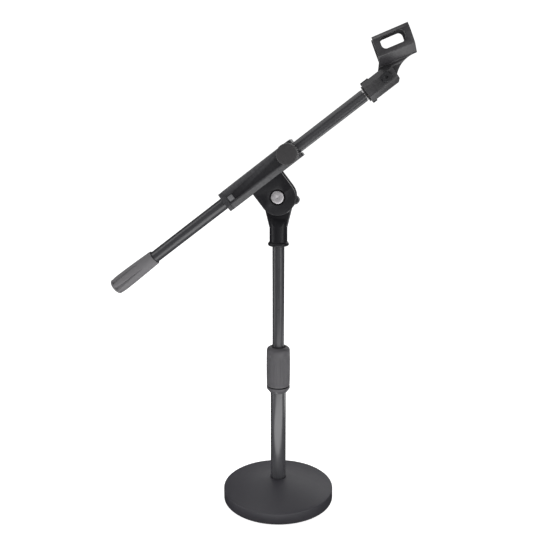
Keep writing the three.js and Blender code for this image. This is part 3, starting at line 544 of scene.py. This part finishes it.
def build_clutch():
    low, high = span("clutch_ferrule")
    ring_top = span("clutch_grip")[0].z - CLUTCH_RING_GAP
    bore = COLUMN_SOCKET_RADIUS
    lip = span("upper_tube")[1].x + GAP
    tube_top = span("lower_tube")[1].z + GAP
    ring = high.x
    ferrule = outline([
        (bore, low.z, 0.2),
        (bore + 1.2, low.z, 0.3),
        (ring, low.z + CLUTCH_RING_TAPER, 1.2),
        (ring, ring_top, 0.3),
        (CLUTCH_NECK_RADIUS, ring_top),
        (CLUTCH_NECK_RADIUS, high.z, 0.3),
        (lip, high.z, 0.2),
        (lip, tube_top),
        (bore, tube_top),
    ])
    piece("clutch_ring", turned(ferrule), COLUMN, "stand_base", "grey_plastic", ["clutch_ferrule"])

    low, high = span("clutch_grip")
    inner = CLUTCH_NECK_RADIUS + GAP
    mouth = 7.2
    collet_top = span("clutch_collet")[1].z + GAP
    waist = high.x - 0.25
    levels = 34
    side = []
    for level in range(levels + 1):
        height = low.z + 0.5 + (high.z - CLUTCH_SHOULDER - low.z - 0.5) * level / levels
        swelling = 0.25 * math.sin(math.pi * level / levels)
        side.append((waist + swelling, height))
    grip = [
        (inner, low.z),
        (waist - 0.5, low.z),
        *side,
        *arc((waist - CLUTCH_SHOULDER, high.z - CLUTCH_SHOULDER), CLUTCH_SHOULDER, 8, 90, 8),
        (mouth + 0.8, high.z),
        (mouth, high.z - 1.2),
        (mouth, collet_top),
        (8.3, collet_top),
        (inner, collet_top - 12),
    ]
    piece("clutch_sleeve", turned(grip, CLUTCH_RIBS * 6, clutch_ribs), COLUMN, "height_grip", "grey_plastic",
          ["clutch_grip"])


# ---------------------------------------------------------------- mast head

NECK_RADIUS = 9.1
NECK_SHOULDER = 299.6
NECK_TOP = 308.6
NECK_FLAT_LEAN = math.radians(31)
LUG_RADIUS = 16
LUG_HALF = 3.8
PIVOT_BORE = 4.4


def build_mast_head():
    low, high = span("mast_head")
    tube_radius = span("upper_tube")[1].x + GAP
    neck = turned([
        (0, low.z),
        *arc((high.y - 1.7, low.z + 1.7), 1.7, -90, 0, 6),
        *arc((high.y - 1.7, low.z + 2.1), 1.7, 0, 80, 6),
        *arc((NECK_RADIUS + 0.9, low.z + 4.9), 0.9, 250, 180, 4),
        (NECK_RADIUS, NECK_TOP),
        (0, NECK_TOP),
    ])
    reach = NECK_RADIUS + PAST
    flats = []
    for side in (0, math.pi):
        flat = block((-reach, 0, 0), (reach, 2 * NECK_RADIUS, 4 * NECK_RADIUS))
        moved(flat, Matrix.Rotation(NECK_FLAT_LEAN, 4, "X"))
        shifted(flat, 0, NECK_RADIUS, NECK_SHOULDER)
        flats.append(moved(flat, Matrix.Rotation(side, 4, "Z")))
    pivot_height = MAST_TOP.translation.z / MM
    drop = pivot_height - NECK_SHOULDER
    lean = math.degrees(math.asin(LUG_RADIUS / math.hypot(NECK_RADIUS, drop)) - math.atan2(NECK_RADIUS, drop))
    lug_outline = [(-NECK_RADIUS, -drop), (NECK_RADIUS, -drop), *arc((0, 0), LUG_RADIUS, -lean, 180 + lean, 48)]
    lug = shifted(plate(lug_outline, -LUG_HALF, LUG_HALF, 1.0), 0, 0, pivot_height)
    bore = shifted(along_y(rod(PIVOT_BORE, -reach, reach)), 0, 0, pivot_height)
    stud_top = span("mast_stud")[1].z + GAP
    shoulder = span("upper_tube")[1].z + 1.4
    head = joined(cut(neck, *flats), lug)
    head = cut(head, bore, rod(tube_radius, low.z - PAST, shoulder), rod(4.9, shoulder - 1, stud_top))
    piece("mast_casting", softened(head, 0.35, 40), COLUMN, "mast", "black_plastic", ["mast_head"])


# ---------------------------------------------------------------- tilt joint

TILT_HEAD_RADIUS = 6.4
TILT_HEAD_RECESS = 2.5
TILT_RECESS_RADIUS = 8.1
CHEEK_RADIUS = 18
CHEEK_OUTSIDE = 9.5
CHEEK_INSIDE = 5.2


def build_tilt_bolt():
    low, high = span("tilt_bolt", TILT)
    back = -CHEEK_OUTSIDE + TILT_HEAD_RECESS - GAP
    face = low.y
    profile = [
        (0, face + 0.5),
        (0.7, face + 0.15),
        (1.2, face),
        (TILT_HEAD_RADIUS - 1.3, face + 0.1),
        *arc((TILT_HEAD_RADIUS - 0.7, face + 0.9), 0.7, -70, 0, 4),
        (TILT_HEAD_RADIUS, back),
        (4, back),
        (4, high.y - 0.6),
        (3.4, high.y),
        (0, high.y),
    ]
    piece("tilt_screw", along_y(turned(profile)), TILT, "sleeve", "bright_steel", ["tilt_bolt"])


def build_tilt_handle():
    low, high = span("tilt_handle", HANDLE)
    hub_radius = 10.5
    tip_radius = 4.6
    tip = high.x - tip_radius
    front = low.y
    hub = along_y(turned([
        (0, front),
        (hub_radius - 0.5, front),
        (hub_radius, front + 0.5),
        *arc((hub_radius - 3, high.y - 3), 3, 0, 80, 8),
        (4, high.y),
        (0, high.y - 0.6),
    ]))
    wing = [
        *arc((tip, 0), tip_radius, -100, 100, 12),
        (0, hub_radius - 1.2, 8),
        *arc((-tip, 0), tip_radius, 80, 280, 12),
        (0, 1.2 - hub_radius, 8),
    ]
    wings = plate(outline(wing, 8), front + 2, front + 10.4, 1.6)
    nut_low, nut_high = span("tilt_nut", HANDLE)
    pocket = along_y(hexagon(nut_high.x + GAP, front - PAST, nut_high.y + GAP))
    bore = along_y(rod(PIVOT_BORE, front, span("tilt_bolt", TILT)[1].y + 0.8))
    handle = softened(cut(joined(hub, wings), pocket, bore), 0.5, 40, 3)
    piece("clamp_wing", handle, HANDLE, "clamp_handle", "black_plastic", ["tilt_handle"])


# ---------------------------------------------------------------- clamp sleeve

SLEEVE_BORE = 7.6
SLEEVE_HALF_DEPTH = 12
SLEEVE_TOP = 10.4
SLEEVE_BOTTOM = -10.3
SLEEVE_BEVEL_START = -5.5
RAIL_HALF_WIDTH = 6
RAIL_TOP = -7
TAB_SIZE = 5.7
TAB_START = -40.1
INSERT_BORE = 4.9


def sleeve_section(shrink=0.0):
    """Section of the sleeve, drawn in from its surface by a little."""
    return outline(mirrored([
        (CHEEK_OUTSIDE - shrink, SLEEVE_BOTTOM + shrink, 0.5),
        (SLEEVE_HALF_DEPTH - shrink, SLEEVE_BEVEL_START, 0.9),
        (SLEEVE_HALF_DEPTH - shrink, SLEEVE_TOP - shrink, 1.3),
    ]), 4)


def sleeve_tab(clearance):
    low, high = TAB_START - clearance, TAB_START + TAB_SIZE + clearance
    half = TAB_SIZE / 2 + clearance
    face = -SLEEVE_HALF_DEPTH + 0.05 - PAST * clearance
    return plate(outline([(low, -half, 0.8), (high, -half, 0.8), (high, half, 0.8), (low, half, 0.8)], 3), face, -7)


def sleeve_rail(clearance):
    low, high = span("boom_sleeve", BOOM)
    return block(
        (low.x - clearance, -RAIL_HALF_WIDTH - clearance, SLEEVE_BOTTOM - clearance),
        (high.x + clearance, RAIL_HALF_WIDTH + clearance, RAIL_TOP + clearance))


def cheek(low, high):
    rise = BOOM.translation - TILT.translation
    top = rise.length / MM + SLEEVE_BOTTOM + 1.5
    shape = [(CHEEK_RADIUS, top), (-CHEEK_RADIUS, top), *arc((0, 0), CHEEK_RADIUS, 180, 360, 48)]
    return shifted(plate(shape, low, high, 0.5), 0, 0, -rise.length / MM)


def build_sleeve():
    rise = (BOOM.translation - TILT.translation).length / MM
    lower_low, lower_high = span("sleeve_bushing_lower", BOOM)
    upper_low, upper_high = span("sleeve_bushing_upper", BOOM)
    body_low = lower_low.x + 4.4 + GAP
    body_high = upper_high.x - 1.7 - GAP
    knob_place = span("sleeve_knob", BOOM)
    knob_x = (knob_place[0].x + knob_place[1].x) / 2
    reach = SLEEVE_HALF_DEPTH + PAST
    bore = along_x(rod(SLEEVE_BORE, lower_low.x - PAST, upper_high.x + PAST))
    insert_bore = shifted(along_y(rod(INSERT_BORE, -reach, -6)), knob_x, 0, 0)
    pivot_bore = shifted(along_y(rod(PIVOT_BORE, -reach, reach)), 0, 0, -rise)
    recess_bottom = -CHEEK_OUTSIDE + TILT_HEAD_RECESS
    recess = shifted(along_y(rod(TILT_RECESS_RADIUS, -reach, recess_bottom)), 0, 0, -rise)
    body = joined(
        bar(sleeve_section(), body_low, body_high),
        sleeve_rail(0),
        cheek(-CHEEK_OUTSIDE, -CHEEK_INSIDE),
        cheek(CHEEK_INSIDE, CHEEK_OUTSIDE))
    body = cut(body, bore, sleeve_tab(GAP), insert_bore, pivot_bore, recess)
    piece("sleeve_moulding", softened(body, 0.3, 40), BOOM, "sleeve", "black_plastic", ["boom_sleeve"])

    tube_bore = span("boom_tube", BOOM)[1].y + GAP
    for name, node, flange, spigot, extras in (
        ("lower_bushing", "sleeve_bushing_lower", (lower_low.x, lower_low.x + 4.4), (lower_low.x, lower_high.x),
         [sleeve_tab(0)]),
        ("upper_bushing", "sleeve_bushing_upper", (upper_high.x - 1.7, upper_high.x), (upper_low.x, upper_high.x),
         []),
    ):
        flange_shape = bar(sleeve_section(0.15), flange[0], flange[1], 0.4)
        spigot_shape = along_x(rod(SLEEVE_BORE - GAP, spigot[0], spigot[1]))
        hole = along_x(rod(tube_bore, spigot[0] - PAST, spigot[1] + PAST))
        bushing = cut(joined(flange_shape, spigot_shape, *extras), hole, sleeve_rail(GAP))
        piece(name, softened(bushing, 0.2, 40), BOOM, "sleeve", "black_plastic", [node])


KNOB_RIBS = 32


def knob_ribs(angle, radius, height):
    """Shallow scallops round the knob's side."""
    if radius < 10.2:
        return radius
    return radius - 0.28 * (0.5 - 0.5 * math.cos(KNOB_RIBS * angle))


def build_knob():
    low, high = span("sleeve_knob", BOOM)
    radius = (high.x - low.x) / 2
    centre = ((high.x + low.x) / 2, 0, (high.z + low.z) / 2)
    face = low.y
    screw_low, screw_high = span("knob_screw", BOOM)
    profile = [
        (0, face + 0.05),
        (radius - 3.2, face),
        (radius - 2.2, face + 0.12),
        *arc((radius - 1.3, face + 1.4), 1.3, -80, 0, 7),
        (radius, high.y - 0.6),
        (radius - 0.6, high.y),
        (3.3, high.y),
        (3.3, screw_low.y - GAP),
        (0, screw_low.y - GAP),
    ]
    knob = shifted(along_y(turned(profile, KNOB_RIBS * 6, knob_ribs)), *centre)
    piece("lock_knob_head", knob, BOOM, "lock_knob", "grey_plastic", ["sleeve_knob"], "knob_plastic")


# ---------------------------------------------------------------- boom

GRIP_FLUTES = 7
GRIP_FLUTE_DEPTH = 2.2
GRIP_FLUTE_START = 2.6  # from the free end
GRIP_FLUTE_LENGTH = 38
GRIP_TURN = 0


def grip_flutes(grip_low):
    """V grooves that are deep and wide near the free end and run out to a point towards the mouth."""

    def flutes(angle, radius, height):
        share = (height - grip_low - GRIP_FLUTE_START) / GRIP_FLUTE_LENGTH
        if radius < 6.6 or share < 0 or share > 1:
            return radius
        offset = abs((GRIP_FLUTES * angle / (2 * math.pi)) % 1 - 0.5)
        opening = 0.36 * (1 - share)
        groove = max(0, 1 - offset / max(opening, 0.01))
        return radius - GRIP_FLUTE_DEPTH * (1 - share) ** 0.8 * groove ** 0.8

    return flutes


def build_boom():
    low, high = span("boom_tube", BOOM)
    rod_shape = along_x(tube(high.y + PAINT, high.y - 1.1, low.x, high.x, 0.25))
    piece("boom_rod", rod_shape, BOOM, "boom", "tube_paint", ["boom_tube"])

    low, high = span("boom_grip", BOOM)
    bore = span("boom_tube", BOOM)[1].y + GAP
    wall = span("boom_plug", BOOM)[0].x - GAP
    widest = high.y
    mouth = 7.65
    levels = 60
    side = []
    for level in range(levels + 1):
        share = level / levels
        along = low.x + GRIP_FLUTE_START - 0.2 + (high.x - 0.6 - low.x - GRIP_FLUTE_START + 0.2) * share
        swell = widest - 0.55 * max(0, 1 - share / 0.16) ** 2 - (widest - mouth) * max(0, (share - 0.1) / 0.9) ** 1.35
        side.append((swell, along))
    end_radius = side[0][0]
    grip = [
        (0, low.x),
        (end_radius - 2.6, low.x + 0.25),
        *arc((end_radius - 2.0, low.x + 2.25), 2.0, -75, -8, 6),
        *side,
        (mouth - 0.5, high.x),
        (bore + 0.5, high.x),
        (bore + 0.1, high.x - 3),
        (bore, wall),
        (0, wall),
    ]
    shape = along_x(turned(grip, GRIP_FLUTES * 48, grip_flutes(low.x)))
    moved(shape, Matrix.Rotation(math.radians(GRIP_TURN), 4, "X"))
    piece("grip_sleeve", shape, BOOM, "boom", "grip_rubber", ["boom_grip"])

    low, high = span("lock_ring", BOOM)
    ring = tube(high.y, 4.9, low.x, high.x, 0.2)
    piece("jam_nut", along_x(ring), BOOM, "jam_ring", "black_metal", ["lock_ring"])


# ---------------------------------------------------------------- clip socket

SOCKET_HALF_HEIGHT = 10
SOCKET_TOP_HALF_WIDTH = 5.6
SOCKET_SIDE_HALF_HEIGHT = 5.1
SOCKET_RIB_WIDTH = 3
SOCKET_RIB_LENGTHS = (8.6, 4.6)  # above and below
SOCKET_RIB_RADIUS = 11.3
FORK_HALF_GAP = 4.5
FORK_FLOOR = 140.5
FORK_BORE = 2.8


def build_socket():
    low, high = span("clip_socket", BOOM)
    section = outline(mirrored([
        (SOCKET_TOP_HALF_WIDTH, -SOCKET_HALF_HEIGHT, 0.8),
        (high.y, -SOCKET_SIDE_HALF_HEIGHT, 0.8),
        (high.y, SOCKET_SIDE_HALF_HEIGHT, 0.8),
        (SOCKET_TOP_HALF_WIDTH, SOCKET_HALF_HEIGHT, 0.8),
    ]), 3)
    reach = SOCKET_RIB_RADIUS + PAST
    side = outline([
        (low.x, -reach), (low.x, SOCKET_HALF_HEIGHT), (high.x, SOCKET_HALF_HEIGHT, 6.5),
        (high.x, -SOCKET_HALF_HEIGHT + 2.5, 2), (high.x - 2.5, -SOCKET_HALF_HEIGHT), (high.x - 2.5, -reach),
    ], 10)
    body = common(bar(section, low.x, high.x), plate(side, -reach, reach))
    ribs = []
    for turn, length in zip((0, math.pi), SOCKET_RIB_LENGTHS):
        rib = block(
            (low.x, -SOCKET_RIB_WIDTH / 2, SOCKET_HALF_HEIGHT - 2.1),
            (low.x + length, SOCKET_RIB_WIDTH / 2, SOCKET_RIB_RADIUS), 0.4)
        ribs.append(moved(rib, Matrix.Rotation(turn, 4, "X")))
    insert_low, insert_high = span("thread_insert", BOOM)
    bolt_low, bolt_high = span("clip_bolt", BOOM)
    pivot = FORK.translation - BOOM.translation
    pivot_x = pivot.dot(BOOM_ALONG) / MM
    pivot_z = pivot.dot(BOOM_ALONG.cross(ACROSS)) / MM
    body = cut(
        joined(body, *ribs),
        along_x(rod(insert_high.y + GAP, low.x - PAST, insert_high.x + GAP)),
        block((FORK_FLOOR, -FORK_HALF_GAP, -reach), (high.x + PAST, FORK_HALF_GAP, reach)),
        shifted(along_y(rod(FORK_BORE, -reach, reach)), pivot_x, 0, pivot_z))
    piece("clip_fork", softened(body, 0.35, 30), BOOM, "socket", "grey_plastic", ["clip_socket"], "socket_plastic")

    low, high = span("clip_bolt", FORK)
    head_radius = high.x
    head_back = low.y + 2.2
    head = along_y(turned([
        (0, low.y),
        (head_radius - 1.2, low.y),
        *arc((head_radius - 0.9, low.y + 0.9), 0.9, -80, 0, 5),
        (head_radius, head_back),
        (2.5, head_back),
        (2.5, high.y - 0.4),
        (2.1, high.y),
        (0, high.y),
    ], 48))
    recess = along_y(hexagon(1.7, low.y - PAST, low.y + 1.4))
    bolt = softened(cut(head, recess), 0.12, 40)
    piece("fork_screw", bolt, FORK, "fork_bolt", "black_metal", ["clip_bolt"])


# ---------------------------------------------------------------- microphone clip

CLIP_TOP = 38.2
CLIP_CREASE = 18.7
CLIP_UNDERSIDE = 11.2
CLIP_FRONT_BOTTOM = 10.7
CLIP_CREASE_HALF_WIDTH = 17.3
CRADLE_HEIGHT = 27.8
CRADLE_BORE = 14.9
CRADLE_SEAT = 3
TONGUE_RADIUS = 9.2
TONGUE_HALF = 4.2
THROAT_CENTRE = (32.5, -15.5)
THROAT_RADIUS = 26.3
SLOT = (5.1, 28.5, 23.2, 35)
SLOT_ROUND = 4.5


def build_clip():
    low, high = span("mic_clip", CLIP)
    back, front = -0.8, high.x
    half = high.y
    reach = half + PAST
    throat_top = math.degrees(math.atan2(CLIP_FRONT_BOTTOM - THROAT_CENTRE[1], front - THROAT_CENTRE[0]))
    side = [
        (back, CLIP_TOP),
        (front, CLIP_TOP),
        *arc(THROAT_CENTRE, THROAT_RADIUS, throat_top, 155, 24),
        *arc((0, 0), TONGUE_RADIUS, -45, -231, 28),
        (back - 0.2, CLIP_CREASE - 2.5),
        (back, CLIP_CREASE + 1),
    ]
    wing_top = math.degrees(math.asin((CLIP_TOP - CRADLE_HEIGHT) / half))
    wing = arc((0, CRADLE_HEIGHT), half, 0, wing_top, 10)
    ends = outline(mirrored([
        (TONGUE_HALF, -TONGUE_RADIUS - PAST),
        (TONGUE_HALF, CLIP_UNDERSIDE, 1.5),
        (CLIP_CREASE_HALF_WIDTH, CLIP_CREASE, 1.2),
        *wing,
        (wing[-1][0], CLIP_TOP + PAST),
    ]), 6)
    seat = math.degrees(math.asin(CRADLE_SEAT / CRADLE_BORE))
    top = math.degrees(math.asin((CLIP_TOP - CRADLE_HEIGHT) / CRADLE_BORE))
    wall = arc((0, CRADLE_HEIGHT), CRADLE_BORE, seat - 90, top, 28)
    cradle = mirrored([*wall, (wall[-1][0], CLIP_TOP + PAST)])
    body = common(plate(side, -reach, reach), bar(ends, back - 2 * TONGUE_RADIUS, front + PAST))
    slot = outline([
        (SLOT[0], SLOT[2], SLOT_ROUND), (SLOT[1], SLOT[2], SLOT_ROUND),
        (SLOT[1], SLOT[3], SLOT_ROUND), (SLOT[0], SLOT[3], SLOT_ROUND),
    ], 8)
    body = cut(
        body,
        bar(cradle, back - PAST, front + PAST),
        plate(slot, -reach, reach),
        along_y(rod(FORK_BORE, -reach, reach)))
    piece("clip_cradle", softened(body, 0.4, 38), CLIP, "clip", "clip_plastic", ["mic_clip"])


# ---------------------------------------------------------------- pieces that keep their CAD shape

CAD_FINISHES = {
    "base_bolt": "steel", "base_washer": "steel", "tube_plug": "steel", "clutch_collet": "nylon",
    "guide_bush": "nylon", "mast_stud": "steel", "friction_washer_front": "nylon",
    "friction_washer_rear": "nylon", "tilt_washer": "steel", "tilt_nut": "steel", "clamp_pad": "nylon",
    "knob_insert": "brass", "knob_screw": "steel", "boom_plug": "black_plastic", "boom_stud": "steel",
    "thread_insert": "brass", "clip_nut": "steel",
}


def finish_cad_pieces():
    for node, slot in CAD_FINISHES.items():
        obj = frame["nodes"][node]
        obj.data.materials.clear()
        obj.data.materials.append(FINISHES[slot])
        obj.data.shade_smooth()
        obj.data.set_sharp_from_angle(angle=SMOOTH_ANGLE)


# ---------------------------------------------------------------- studio

CAMERA_DISTANCE = 0.7039
CAMERA_HEIGHT = 0.4016
CAMERA_ASIDE = 0.0035
CAMERA_SWING = math.radians(7)
CAMERA_TILT = math.radians(12.2)
CAMERA_LENS = 36 * 700 / 550


def add_camera():
    data = bpy.data.cameras.new("camera")
    data.lens = CAMERA_LENS
    camera = bpy.data.objects.new("camera", data)
    bpy.context.scene.collection.objects.link(camera)
    ahead = Vector((-math.sin(CAMERA_SWING), math.cos(CAMERA_SWING), 0))
    right = Vector((math.cos(CAMERA_SWING), math.sin(CAMERA_SWING), 0))
    camera.location = -CAMERA_DISTANCE * ahead - CAMERA_ASIDE * right + Vector((0, 0, CAMERA_HEIGHT))
    camera.rotation_euler = (math.radians(90) - CAMERA_TILT, 0, CAMERA_SWING)
    bpy.context.scene.camera = camera


def add_softbox(name, centre, target, width, height, radiance):
    data = bpy.data.lights.new(name, "AREA")
    data.shape = "RECTANGLE"
    data.size = width
    data.size_y = height
    data.energy = radiance * math.pi * width * height
    light = bpy.data.objects.new(name, data)
    bpy.context.scene.collection.objects.link(light)
    light.location = centre
    light.rotation_euler = (Vector(target) - Vector(centre)).to_track_quat("-Z", "Y").to_euler()
    light.visible_camera = False


def add_floor():
    """Pale paper that is bright enough to keep the object's shadow faint."""
    bpy.ops.mesh.primitive_plane_add(size=8, location=(0, 0, 0))
    floor = bpy.context.object
    floor.name = "floor"
    finish = Finish("floor_paper")
    finish.tint((0.5, 0.5, 0.5), 0.01)
    finish.roughen(0.8, 0.9, finish.noise(40))
    finish.bump((finish.noise(1.2), 0.01))
    finish.set(Specular_IOR_Level=0.1, Emission_Color=(1, 1, 1, 1), Emission_Strength=0.85)
    floor.data.materials.append(finish.material)
    floor.visible_glossy = False


def add_world():
    """Bright behind the object, dim on the camera's side, and kept out of the reflections."""
    world = bpy.data.worlds.new("studio")
    bpy.context.scene.world = world
    world.use_nodes = True
    world.cycles_visibility.glossy = False
    tree = world.node_tree
    background = tree.nodes["Background"]
    direction = tree.nodes.new("ShaderNodeTexCoord").outputs["Generated"]
    split = tree.nodes.new("ShaderNodeSeparateXYZ")
    tree.links.new(direction, split.inputs[0])
    brightness = tree.nodes.new("ShaderNodeMapRange")
    brightness.interpolation_type = "SMOOTHSTEP"
    tree.links.new(split.outputs["Y"], brightness.inputs["Value"])
    for socket, value in (("From Min", -0.3), ("From Max", 0.6), ("To Min", 0.5), ("To Max", 1.1)):
        brightness.inputs[socket].default_value = value
    tree.links.new(brightness.outputs["Result"], background.inputs["Strength"])
    background.inputs["Color"].default_value = (1, 1, 1, 1)


def add_studio():
    bpy.context.scene.view_settings.view_transform = "Standard"
    add_camera()
    add_floor()
    add_world()
    middle = (0, 0, 0.25)
    add_softbox("left_softbox", (-0.85, -0.28, 0.4), middle, 0.3, 1.1, 2.5)
    add_softbox("right_softbox", (0.7, -0.5, 0.4), middle, 0.3, 1.1, 2.5)
    add_softbox("top_softbox", (-0.3, 0.0, 1.2), middle, 1.2, 0.8, 1.2)
    add_softbox("front_softbox", (0.3, -1.5, 0.75), middle, 1.2, 0.9, 0.5)
    add_softbox("back_softbox", (0.25, 0.95, 0.65), (0, 0, 0.2), 1.5, 0.7, 1.2)
    add_softbox("front_card", (0.08, -0.33, 0.004), (0.08, -0.33, 1), 0.5, 0.5, 2.5)
    add_softbox("side_card", (0.42, 0.28, 0.004), (0.42, 0.28, 1), 0.4, 0.4, 2)


# ---------------------------------------------------------------- the stand

build_base()
build_tube("column_tube", "lower_tube", 1.2, "stand_base", "column_paint")
build_tube("mast_tube", "upper_tube", 1.1, "mast", "tube_paint")
build_clutch()
build_mast_head()
build_tilt_bolt()
build_tilt_handle()
build_sleeve()
build_knob()
build_boom()
build_socket()
build_clip()
finish_cad_pieces()
add_studio()
